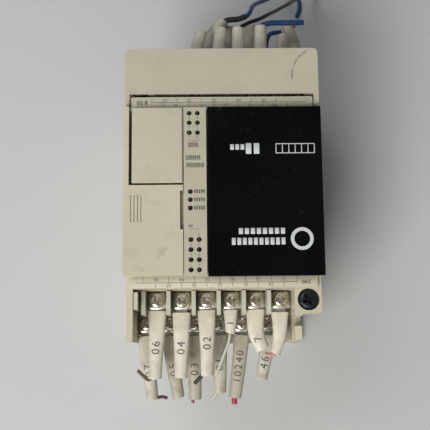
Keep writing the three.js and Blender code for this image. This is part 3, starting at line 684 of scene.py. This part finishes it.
# %% Where the terminals are
PITCH = 7.62
INNER = {"x": -20.6, "y": 32.3, "seat": 58.4}
OUTER = {"x": -24.41, "y": 39.0, "seat": 47.4}
INPUT, OUTPUT = 1, -1
LUG_THICK = 0.8
WASHER_HALF = 2.6
WASHER_THICK = 0.8


def terminal(row, k, side):
    """Where terminal k of a row has its screw, at the input or the output side."""
    return Vector((side * (row["x"] + PITCH * k), -side * row["y"], row["seat"]))


# %% Screws, washers and clamping plates
random.seed(7)
screw_shape = screw_head(2.4, 0.75, 2.2, (1.7, 0.46, 1.6), 1.5, 6.0)
screw_mesh = bpy.data.meshes.new("screw_pattern")
screw_shape.to_mesh(screw_mesh)
screw_shape.free()


def terminal_screw(name, place, stands_for=()):
    shape = bmesh.new()
    foot = place.z + 0.1 + LUG_THICK + 0.1
    half = WASHER_HALF
    low = (place.x - half, place.y - half, foot)
    high = (place.x + half, place.y + half, foot + WASHER_THICK)
    plate(shape, low, high, soft=0.16, clip=0.6)
    turned_copy(shape, screw_mesh, random.uniform(0, math.pi / 2), (place.x, place.y, high[2]))
    return add_piece(name, shape, [nickel], stands_for)


for index in range(12):
    row = INNER if index < 6 else OUTER
    node = f"input_screw_{index + 1}"
    terminal_screw(f"input_terminal_screw_{index + 1}", terminal(row, index % 6, INPUT), [node])
    terminal_screw(f"output_terminal_screw_{index + 1}", terminal(row, index % 6, OUTPUT))


def clamp_plates(name, side):
    """The folded steel plates under one side's screws."""
    shape = bmesh.new()
    for row, half, inward, edge in ((INNER, 2.9, 2.3, 2.4), (OUTER, 3.0, 3.6, 3.0)):
        for k in range(6):
            x, y, seat = terminal(row, k, side)
            near, fold = sorted((y + side * inward, y - side * edge))
            tongue = sorted((y - side * (edge + 0.02), y - side * (edge + 0.3)))
            plate(shape, (x - half, near, seat + 0.01), (x + half, fold, seat + 0.09), soft=0.02)
            plate(shape, (x - half, tongue[0], seat - 5), (x + half, tongue[1], seat + 0.09), soft=0.05)
    return add_piece(name, shape, [clamp_steel])


clamp_plates("input_clamp_plates", INPUT)
clamp_plates("output_clamp_plates", OUTPUT)
print("screws have", len(screw_mesh.polygons), "faces each")

# %% [markdown]
# ## Case screws
#
# A black screw holds the front case at each of two corners. It sits in a counterbore, with a flat rim
# and a deep cross. It is turned and punched like the terminal screws, only larger.

# %% Two black screws
CASE_SCREW = {"x": 25.2, "y": 32.9, "seat": 68.1}
for number, side in ((1, INPUT), (2, OUTPUT)):
    pattern = screw_head(3.0, 1.5, 2.5, (2.0, 0.55, 2.0), 1.4, 26.0)
    bmesh.ops.transform(
        pattern,
        matrix=Matrix.Translation((side * CASE_SCREW["x"], -side * CASE_SCREW["y"], CASE_SCREW["seat"]))
        @ Matrix.Rotation(0.5 * side, 4, "Z"),
        verts=pattern.verts,
    )
    add_piece(f"black_case_screw_{number}", pattern, [black_oxide], [f"case_screw_{number}"])

# %% [markdown]
# ## Print
#
# Terminal numbers, light numbers and sleeve marks are printed. Each mark is a very thin solid, made
# from Blender's own font, so it bakes and exports like any other piece. Only plain digits and bars are
# used. On a curved sleeve the digits are cut into small triangles first and then bent onto it.

# %% Digits and bars
GLYPHS = {}


def glyph_mesh(text, spacing):
    """A text as a flat solid of half height 1, in the XY plane and centred on the origin."""
    if (text, spacing) not in GLYPHS:
        curve = bpy.data.curves.new("print", "FONT")
        curve.body = text
        curve.align_x = "CENTER"
        curve.align_y = "CENTER"
        curve.space_character = spacing
        curve.resolution_u = 3
        curve.extrude = 1.0
        item = bpy.data.objects.new("print", curve)
        bpy.context.scene.collection.objects.link(item)
        settled = item.evaluated_get(bpy.context.evaluated_depsgraph_get())
        GLYPHS[text, spacing] = bpy.data.meshes.new_from_object(settled)
        bpy.data.objects.remove(item)
        bpy.data.curves.remove(curve)
    return GLYPHS[text, spacing]


def digits(shape, text, size, place, turned=True, material=0, spacing=1.0, lift=0.03):
    """Prints digits on a level face, upright or turned half round."""
    start = len(shape.verts)
    faces = len(shape.faces)
    shape.from_mesh(glyph_mesh(text, spacing))
    shape.verts.ensure_lookup_table()
    shape.faces.ensure_lookup_table()
    angle = math.pi if turned else 0.0
    grow = Matrix.Diagonal((size, size, lift, 1))
    move = Matrix.Translation(place) @ Matrix.Rotation(angle, 4, "Z") @ grow
    bmesh.ops.transform(shape, matrix=move, verts=shape.verts[start:])
    for face in shape.faces[faces:]:
        face.material_index = material


def bar(shape, x, y, z, material=0, lift=0.03):
    """Prints a plain bar over the ranges x and y at height z."""
    plate(shape, (x[0], y[0], z - lift), (x[1], y[1], z + lift), material, soft=0.01)


def word(shape, x, y, z, letters, material=0, lift=0.03):
    """Prints a row of plain blocks where a word would be, with one block for each letter."""
    pitch = (x[1] - x[0]) / letters
    for k in range(letters):
        left = x[0] + pitch * k
        bar(shape, (left, left + pitch * 0.70), y, z, material, lift)


# %% [markdown]
# ## Leads
#
# Twenty-two leads were cut off near the terminals. Each has a tinned ring lug under the screw, a
# vinyl marker sleeve that the lug's barrel has spread flat at its mouth, and the stump of a wire. The
# sleeve is a real tube with a wall. Its section is a squared oval that turns round towards the end,
# and a slow noise dents it, because hand-cut vinyl is never straight.

# %% Sleeve
WALL = 0.42


class Sleeve:
    """The outer skin of a marker sleeve along points, from its mouth to its cut end."""

    def __init__(self, points, mouth, end, seed):
        self.line = smooth_line(points, 12)
        self.stations = frames(self.line)
        self.length = line_length(self.line)
        self.mouth = mouth
        self.end = end
        self.seed = seed

    def station(self, far):
        """The frame far millimetres from the mouth."""
        gone = 0.0
        for i, (a, b) in enumerate(zip(self.line, self.line[1:])):
            step = (b - a).length
            if gone + step >= far or i == len(self.line) - 2:
                share = (far - gone) / step
                first, second = self.stations[i], self.stations[i + 1]
                return [u.lerp(v, share) if k == 0 else u.lerp(v, max(0, min(1, share))).normalized()
                        for k, (u, v) in enumerate(zip(first, second))]
            gone += step

    def half(self, far):
        """Half the width, half the thickness and the squareness there."""
        share = max(0.0, min(1.0, far / self.length))
        wide = self.end + (self.mouth - self.end) * (1 - share) ** 1.3
        dent = noise.noise((far * 0.20, self.seed * 3.7, 0))
        return wide / 2 * (1 + 0.05 * dent), (3.3 + 0.4 * share) / 2 * (1 - 0.07 * dent), 3.2 - 1.1 * share

    def ring(self, far, shrink=0.0, slant=0.0, sides=30):
        """A section of the sleeve, shrunk evenly, and slanted where it is cut."""
        centre, across, rise, along = self.station(far)
        wide, thick, square = self.half(far)
        points = []
        for k in range(sides):
            turn = 2 * math.pi * k / sides
            c, s = math.cos(turn), math.sin(turn)
            u = math.copysign(abs(c) ** (2 / square), c) * (wide - shrink)
            v = math.copysign(abs(s) ** (2 / square), s) * (thick - shrink)
            points.append(centre + across * u + rise * v + along * slant * c)
        return points

    def top(self, far, aside, lift):
        """A point on the upper side, aside millimetres from the middle."""
        centre, across, rise, _ = self.station(far)
        wide, thick, square = self.half(far)
        share = min(0.97, abs(aside) / wide)
        return centre + across * aside + rise * (thick * (1 - share ** square) ** (1 / square) + lift)

    def build(self, shape, material):
        """Adds the tube: inner wall, rounded rim, outer skin, rounded rim, inner wall."""
        rng = random.Random(self.seed)
        cut = rng.uniform(-0.35, 0.35)
        last = self.length
        lip = ((4.0, WALL), (0.08, WALL), (0.0, 0.3), (0.0, 0.1))
        rings = [self.ring(far, shrink) for far, shrink in lip]
        count = max(8, int(last / 0.9))
        for k in range(count + 1):
            rings.append(self.ring(0.12 + (last - 0.24) * k / count, 0, cut if k == count else 0))
        ends = ((last, 0.1), (last, 0.3), (last - 0.08, WALL), (last - 3.5, WALL))
        rings += [self.ring(far, shrink, cut) for far, shrink in ends]
        skin(shape, rings, material)

    def print(self, shape, text, size, middle, material, spacing=1.3):
        """Wraps digits on the upper side. They read towards the mouth."""
        flat = bmesh.new()
        flat.from_mesh(glyph_mesh(text, spacing))
        bmesh.ops.scale(flat, vec=(size, size, 1), verts=flat.verts)
        bmesh.ops.triangulate(flat, faces=flat.faces)
        for _ in range(3):
            long = [
                edge for edge in flat.edges
                if edge.calc_length() > 0.4 and abs(edge.verts[0].co.z - edge.verts[1].co.z) < 1
            ]
            bmesh.ops.subdivide_edges(flat, edges=long, cuts=1)
            bmesh.ops.triangulate(flat, faces=flat.faces)
        for vert in flat.verts:
            vert.co = self.top(middle - vert.co.x, vert.co.y, 0.025 if vert.co.z > 0 else -0.04)
        ink_part = bpy.data.meshes.new("print_part")
        flat.to_mesh(ink_part)
        flat.free()
        turned_copy(shape, ink_part, 0, (0, 0, 0), material)


# %% Lug and lead
SLEEVE_INK, LUG, CORE = 1, 2, 3


def ring_lug(shape, place, mouth, side):
    """A ring terminal and its neck, which runs into the sleeve."""
    z = place.z + 0.1
    hole, out, soft = 1.9, 2.6, 0.1
    profile = [
        (hole, z + soft), (hole + soft, z), (out - soft, z), (out, z + soft),
        (out, z + LUG_THICK - soft), (out - soft, z + LUG_THICK),
        (hole + soft, z + LUG_THICK), (hole, z + LUG_THICK - soft),
    ]
    lathe(shape, profile, (place.x, place.y), LUG, 30, capped=False)
    reach = Vector(mouth)
    middle = [(place.x, place.y - side * 2.0), (reach.x, reach.y - side * 2.5)]
    rings = []
    for (x, y), wide in zip(middle, (1.7, 1.6)):
        top = z + LUG_THICK
        rings.append([(x - wide, y, z), (x + wide, y, z), (x + wide, y, top), (x - wide, y, top)])
    skin(shape, rings, LUG)


def lead(node, row, k, side, points, text="", middle=0.54, mouth=5.7, end=3.9, look=None, size=3.5, wires=()):
    """A whole lead: lug, sleeve, print and wire stumps, which stands for its CAD node."""
    shape = bmesh.new()
    seed = sum(ord(letter) for letter in node)
    sleeve = Sleeve(points, mouth, end, seed)
    sleeve.build(shape, 0)
    ring_lug(shape, terminal(row, k, side), points[0], side)
    if text:
        sleeve.print(shape, text, size, middle * sleeve.length, SLEEVE_INK)
    # The lower row takes the darker copy, which paints the shade under the upper row.
    plain = sleeve_grey_shaded if row == OUTER else sleeve_white
    materials = [look or plain, ink_black, tinned, copper]
    if not wires:
        inside = [tuple(sleeve.station(sleeve.length - back)[0]) for back in (3.6, 2.2, 0.9)]
        wires = [(random.Random(seed).choice(["brown", "white", "maroon", "blue"]), 1.5, inside)]
    for colour, thick, route in wires:
        materials.append(INSULATION[colour])
        tube(shape, route, thick / 2, len(materials) - 1, CORE)
    return add_piece(node + "_dressed", shape, materials, [node])


# %% Input leads
HIGH = 58.6
LOW = 48.4
lead("input_lead_1", INNER, 0, INPUT, [(-20.5, -35.2, HIGH), (-20.8, -45, 58), (-21.3, -56, 57)], "06",
     wires=[("brown", 1.0,
             [(-21.2, -54.5, 57), (-23.3, -56.3, 57), (-25.0, -55.0, 57.2), (-26.6, -53.4, 57.4)])])
lead("input_lead_2", INNER, 1, INPUT, [(-13, -35.8, HIGH), (-13.1, -45, 58), (-13.3, -55.7, 57)], "04")
lead("input_lead_3", INNER, 2, INPUT, [(-5.3, -35.1, HIGH), (-5.1, -45, 58), (-5.2, -55.2, 57)], "02", 0.5,
     wires=[("olive", 1.15, [(-5.4, -53.8, 57), (-7.2, -55.6, 56.6), (-9.1, -57.5, 56)])])
lead("input_lead_4", INNER, 3, INPUT, [(2.2, -35.1, HIGH), (2.2, -38.6, 58.4), (2.1, -42.3, 58)], "1", 0.56,
     mouth=4.7, end=3.3, size=3.0,
     wires=[("white", 0.8, [(2.2, -40.5, 58), (1.6, -44.6, 57.8), (-0.6, -50.5, 57.2), (-2.6, -55.2, 56.6)])])
lead("input_lead_5", INNER, 4, INPUT, [(9.9, -35.1, HIGH), (10.1, -42.4, 58.2), (12.1, -47.2, 57.4)], "7",
     0.72, mouth=6.0, end=4.4)
lead("input_lead_6", INNER, 5, INPUT, [(17.5, -35.9, HIGH), (17.3, -43.4, 58), (15.9, -48.7, 57.2)],
     mouth=5.6, end=3.4,
     wires=[("pink", 1.3, [(16.4, -47, 57.2), (15.6, -48.9, 57.2), (14.4, -49.2, 57), (12.9, -48.9, 56.8)])])
lead("input_lead_7", OUTER, 0, INPUT, [(-24.4, -42.6, LOW), (-23.9, -52, 47.6), (-22.7, -62.6, 46)], "07",
     wires=[("maroon", 1.05,
             [(-22.5, -60.6, 46.2), (-21.2, -62.0, 46.2), (-19.6, -61.9, 46.3), (-18.0, -62.3, 46.4)])])
lead("input_lead_8", OUTER, 1, INPUT, [(-17, -42.6, LOW), (-16, -52, 47.6), (-14.4, -62.2, 46)], "05",
     look=sleeve_dull)
lead("input_lead_9", OUTER, 2, INPUT, [(-9.1, -42.6, LOW), (-9.1, -52, 47.6), (-9.1, -62.7, 46)], "03", 0.52,
     look=sleeve_dull, wires=[("mauve", 1.0, [(-9.6, -61, 46), (-9.7, -62.8, 45.8), (-9.9, -63.8, 45.5)])])
lead("input_lead_10", OUTER, 3, INPUT, [(-1.3, -42.6, LOW), (-1.2, -52, 47.6), (-1.1, -60.8, 46.4)], "01",
     0.5,
     wires=[("white", 1.3, [(-1.9, -58.8, 46.6), (-2.4, -61.0, 46.5), (-4.0, -63.4, 46.2)])])
lead("input_lead_11", OUTER, 4, INPUT, [(6, -42.6, LOW), (5, -52, 47.6), (3.6, -62.3, 46)], "10240", 0.5,
     mouth=5.0, end=4.1, look=sleeve_dull, size=3.3,
     wires=[("red", 1.8, [(3.7, -60.5, 46), (3.5, -62.8, 45.8), (3.4, -64.3, 45.4)])])
lead("input_lead_12", OUTER, 5, INPUT, [(14.2, -42.6, LOW), (13.6, -49, 47.8), (12.1, -56.5, 46.8)], "46",
     0.62, end=3.8)

# %% Output leads
lead("output_lead_1", INNER, 0, OUTPUT, [(20.6, 35.2, HIGH), (20.2, 50, 57.6), (20.8, 54.8, 57)], "11", 0.45,
     look=sleeve_dull)
lead("output_lead_2", INNER, 1, OUTPUT, [(13, 35.2, HIGH), (13.2, 50, 57.6), (13.4, 58, 57)], "12", 0.4,
     wires=[("blue", 1.8, [(13.0, 55.8, 56.9), (13.4, 58.0, 56.8), (16, 59.3, 56.7),
                           (22, 59.6, 56.5), (27.8, 59.8, 56.2)])])
lead("output_lead_3", INNER, 2, OUTPUT, [(5.4, 35.2, HIGH), (5.9, 50, 57.6), (5.9, 57.4, 57)], "13", 0.42,
     wires=[("black", 1.3, [(5.9, 54.6, 57.1), (6.1, 56.6, 57), (7.1, 58.2, 56.9)])])
lead("output_lead_4", INNER, 3, OUTPUT, [(-2.2, 35.2, HIGH), (-0.5, 50, 57.6), (0.3, 57.4, 57)], "14", 0.42)
lead("output_lead_5", INNER, 4, OUTPUT, [(-9.8, 35.2, HIGH), (-7.7, 50, 57.6), (-6.4, 56.3, 57)], "15", 0.44)
lead("output_lead_6", OUTER, 0, OUTPUT, [(24.4, 42.6, LOW), (25.5, 54.3, 47.6), (23.3, 62.1, 46.6)],
     look=sleeve_dull, wires=[("red", 1.3, [(23.6, 60.2, 46.6), (24.2, 61.6, 46.8), (25.9, 62.3, 47)])])
lead("output_lead_7", OUTER, 1, OUTPUT, [(16.7, 42.6, LOW), (16.4, 46, 48.2), (16.2, 49, 48)],
     wires=[("blue", 1.5, [(16.2, 47.5, 48), (15.9, 55.4, 49), (17.1, 58.3, 49.4), (20.9, 59.1, 49.4)])])
lead("output_lead_8", OUTER, 2, OUTPUT, [(9.1, 42.6, LOW), (9.8, 54, 47.6), (10.4, 62.3, 46.6)])
lead("output_lead_9", OUTER, 3, OUTPUT, [(1.5, 42.6, LOW), (2.3, 54, 47.6), (3.3, 61.6, 46.6)], end=3.7,
     look=sleeve_dull)
lead("output_lead_10", OUTER, 4, OUTPUT,
     [(-6.1, 42.6, LOW), (-5.4, 51, 48), (-3.4, 57, 48.4), (1.4, 63.2, 49.6)],
     wires=[("black", 1.9, [(-0.4, 61.4, 49.4), (2.6, 63.2, 49.8), (6.2, 63.6, 49.9), (8.9, 64.5, 50)]),
            ("blue", 1.5, [(7.6, 64.0, 49.9), (8.7, 64.4, 49.9), (9.8, 65.1, 49.7)])])
print("dressed 22 leads")

# %% [markdown]
# ## Label plates, light numbers and nameplate print
#
# Both bays have a label with a ruled grid of terminal numbers. The controller lies upside down for its
# reader, so its print is turned half round. The nameplate carries plain bars and a ring where a
# maker's words and mark would be.

# %% Terminal labels
LABEL_Z = 72.2
LABEL_FACE = LABEL_Z + 0.06
LINE = 0.07


def terminal_label(name, side, rows, heading):
    """A label strip: its paper, ruled grid and numbers, for the input or the output side."""
    shape = bmesh.new()
    edge = [-side * 25.82, -side * 29.1]
    plate(shape, (-27.6, min(edge), LABEL_Z - 0.02), (27.6, max(edge), LABEL_FACE), soft=0.03, clip=0.3)
    middle = -side * 27.7
    bar(shape, sorted((-side * 26.0, side * 21.8)), (middle - LINE, middle + LINE), LABEL_FACE, 1)
    for (first, numbers), (low, high) in zip(rows, ((edge[0], middle), (middle, edge[1]))):
        span = sorted((low, high))
        for k, number in enumerate(numbers):
            x = side * (first + PITCH * k)
            bar(shape, (x - LINE, x + LINE), span, LABEL_FACE, 1)
            digits(shape, number, 1.45, (x + side * PITCH / 2, sum(span) / 2, LABEL_FACE), material=1)
        x = side * (first + PITCH * len(numbers))
        bar(shape, (x - LINE, x + LINE), span, LABEL_FACE, 1)
    for shift in (-0.05, 0.05):
        digits(shape, heading, 1.7, (side * 24.5 + shift, middle, LABEL_FACE), material=1, spacing=1.1)
    return add_piece(name, shape, [case_plastic[0], ink_grey])


INPUT_NUMBERS = [(-24.06, ["06", "04", "02", "00", "20", "10"]), (-20.3, ["07", "05", "03", "01", "24"])]
OUTPUT_NUMBERS = [(-20.3, ["14", "13", "12", "11", "10"]), (-16.6, ["05", "04", "03", "02", "01"])]
terminal_label("input_label", INPUT, INPUT_NUMBERS, "240")
terminal_label("output_label", OUTPUT, OUTPUT_NUMBERS, "8 50")

# %% Light numbers
STRIP_TOP = 74.8
strip_print = bmesh.new()
for pair, y in enumerate((23.6, 20.6, 17.5)):
    digits(strip_print, str(5 - 2 * pair), 1.1, (-10.05, y - 1.45, STRIP_TOP), lift=0.02)
    digits(strip_print, str(4 - 2 * pair), 1.1, (-7.57, y - 1.45, STRIP_TOP), lift=0.02)
for pair, y in enumerate((-15.15, -18.15, -21.15, -24.15)):
    digits(strip_print, str(1 + 2 * pair), 1.1, (-9.72, y + 1.45, STRIP_TOP), lift=0.02)
    digits(strip_print, str(2 * pair), 1.1, (-7.28, y + 1.45, STRIP_TOP), lift=0.02)
for y in (-0.67, -3.13, -5.64):
    word(strip_print, (-8.7, -5.3), (y - 0.6, y + 0.6), STRIP_TOP, 5, lift=0.02)
WORDS = [
    ((-10.4, -7.3), (12.9, 14.4), 5), ((-11.2, -6.6), (9.0, 10.4), 8), ((-11.0, -5.5), (6.7, 8.1), 9),
    ((-10.4, -9.1), (-11.5, -10.7), 3),
]
for x, y, letters in WORDS:
    word(strip_print, x, y, STRIP_TOP, letters, lift=0.02)
for y in (15.0, -12.0):
    bar(strip_print, (-10.3, -7.0), (y - 0.06, y + 0.06), STRIP_TOP, lift=0.02)
add_piece("light_numbers", strip_print, [ink_grey])

# %% Nameplate print
PLATE_TOP = 75.0
name_print = bmesh.new()
NAMES = [
    ((2.3, 7.0), (12.0, 13.7), 3), ((7.0, 11.8), (10.7, 14.0), 2), ((4.5, 18.8), (-13.7, -11.9), 8),
    ((2.4, 18.8), (-16.9, -14.8), 10),
]
for x, y, letters in NAMES:
    word(name_print, x, y, PLATE_TOP, letters, lift=0.015)
for y in (10.8, 13.65):
    bar(name_print, (16.0, 27.85), (y, y + 0.25), PLATE_TOP, lift=0.015)
for k in range(7):
    x = 16.0 + 1.933 * k
    bar(name_print, (x, x + 0.25), (11.06, 13.64), PLATE_TOP, lift=0.015)
INK_HALF = 0.015
ring_profile = [(2.35, PLATE_TOP - INK_HALF), (3.4, PLATE_TOP - INK_HALF),
                (3.4, PLATE_TOP + INK_HALF), (2.35, PLATE_TOP + INK_HALF)]
lathe(name_print, ring_profile, (23.3, -15.2), sides=64, capped=False)
add_piece("nameplate_print", name_print, [ink_silver])

# %% [markdown]
# ## Under the port lid and the pull-off cover
#
# When the lid opens, a round programming socket, a run switch and two small dials show. The socket
# needs its pins and key. Under the pull-off cover is a two-row pin header in a black frame. These are
# seen only in some poses, but then from close by, so they get real pins.

# %% Socket pins and header
SOCKET = (-19.8, 17.8)
pins = bmesh.new()
for k in range(8):
    turn = math.radians(22.5 + 45 * k)
    reach = 2.9 if k % 2 else 1.7
    spot = (SOCKET[0] + reach * math.cos(turn), SOCKET[1] + reach * math.sin(turn))
    lathe(pins, [(0.32, 60.0), (0.32, 63.4), (0.2, 63.8)], spot, 0, 14)
add_piece("port_socket_pins", pins, [brass])

key = bmesh.new()
plate(key, (SOCKET[0] - 1.1, SOCKET[1] - 0.5, 60.0), (SOCKET[0] + 1.1, SOCKET[1] + 0.5, 63.0), soft=0.15)
key_profile = [(4.62, 64.95), (5.6, 64.95), (5.6, 65.35), (5.3, 65.6), (4.9, 65.6), (4.62, 65.35)]
lathe(key, key_profile, SOCKET, 0, 48, capped=False)
add_piece("port_socket_key", key, black_plastic)

header = bmesh.new()
HEADER = {"x": (-23.2, -17.4), "y": (-20.6, -3.4), "z": (66.05, 71.2)}
(hx0, hx1), (hy0, hy1), (hz0, hz1) = HEADER["x"], HEADER["y"], HEADER["z"]
plate(header, (hx0, hy0, hz0), (hx1, hy1, hz0 + 1.2))
for x in ((hx0, hx0 + 0.8), (hx1 - 0.8, hx1)):
    plate(header, (x[0], hy0, hz0 + 1.0), (x[1], hy1, hz1))
for y in ((hy0, hy0 + 0.8), (hy1 - 0.8, hy1)):
    plate(header, (hx0, y[0], hz0 + 1.0), (hx1, y[1], hz1 - 0.01))
for k in range(12):
    for x in (-21.2, -19.4):
        y = hy0 + 1.8 + k * (hy1 - hy0 - 3.6) / 11
        plate(header, (x - 0.25, y - 0.25, hz0 + 1.0), (x + 0.25, y + 0.25, hz1 - 0.8), 2, soft=0.08)
add_piece("expansion_header", header, [*black_plastic, brass])

# %% Marks round the switch and dials
port_print = bmesh.new()
PORT_FLOOR = 58.0
PAD_TOP = 60.4
digits(port_print, "1", 1.6, (-23.7, 11.2, PORT_FLOOR), lift=0.03)
for x in (-18.7, -14.9):
    for k in range(7):
        turn = math.radians(-45 + 45 * k)
        spot = (x + 1.83 * math.cos(turn), 6.4 + 1.83 * math.sin(turn))
        lathe(port_print, [(0.1, PAD_TOP - 0.02), (0.1, PAD_TOP + 0.03)], spot, 0, 8)
digits(port_print, "1", 1.3, (-20.1, 4.7, PAD_TOP), lift=0.03)
digits(port_print, "2", 1.3, (-13.4, 4.7, PAD_TOP), lift=0.03)
add_piece("port_marks", port_print, [ink_grey])
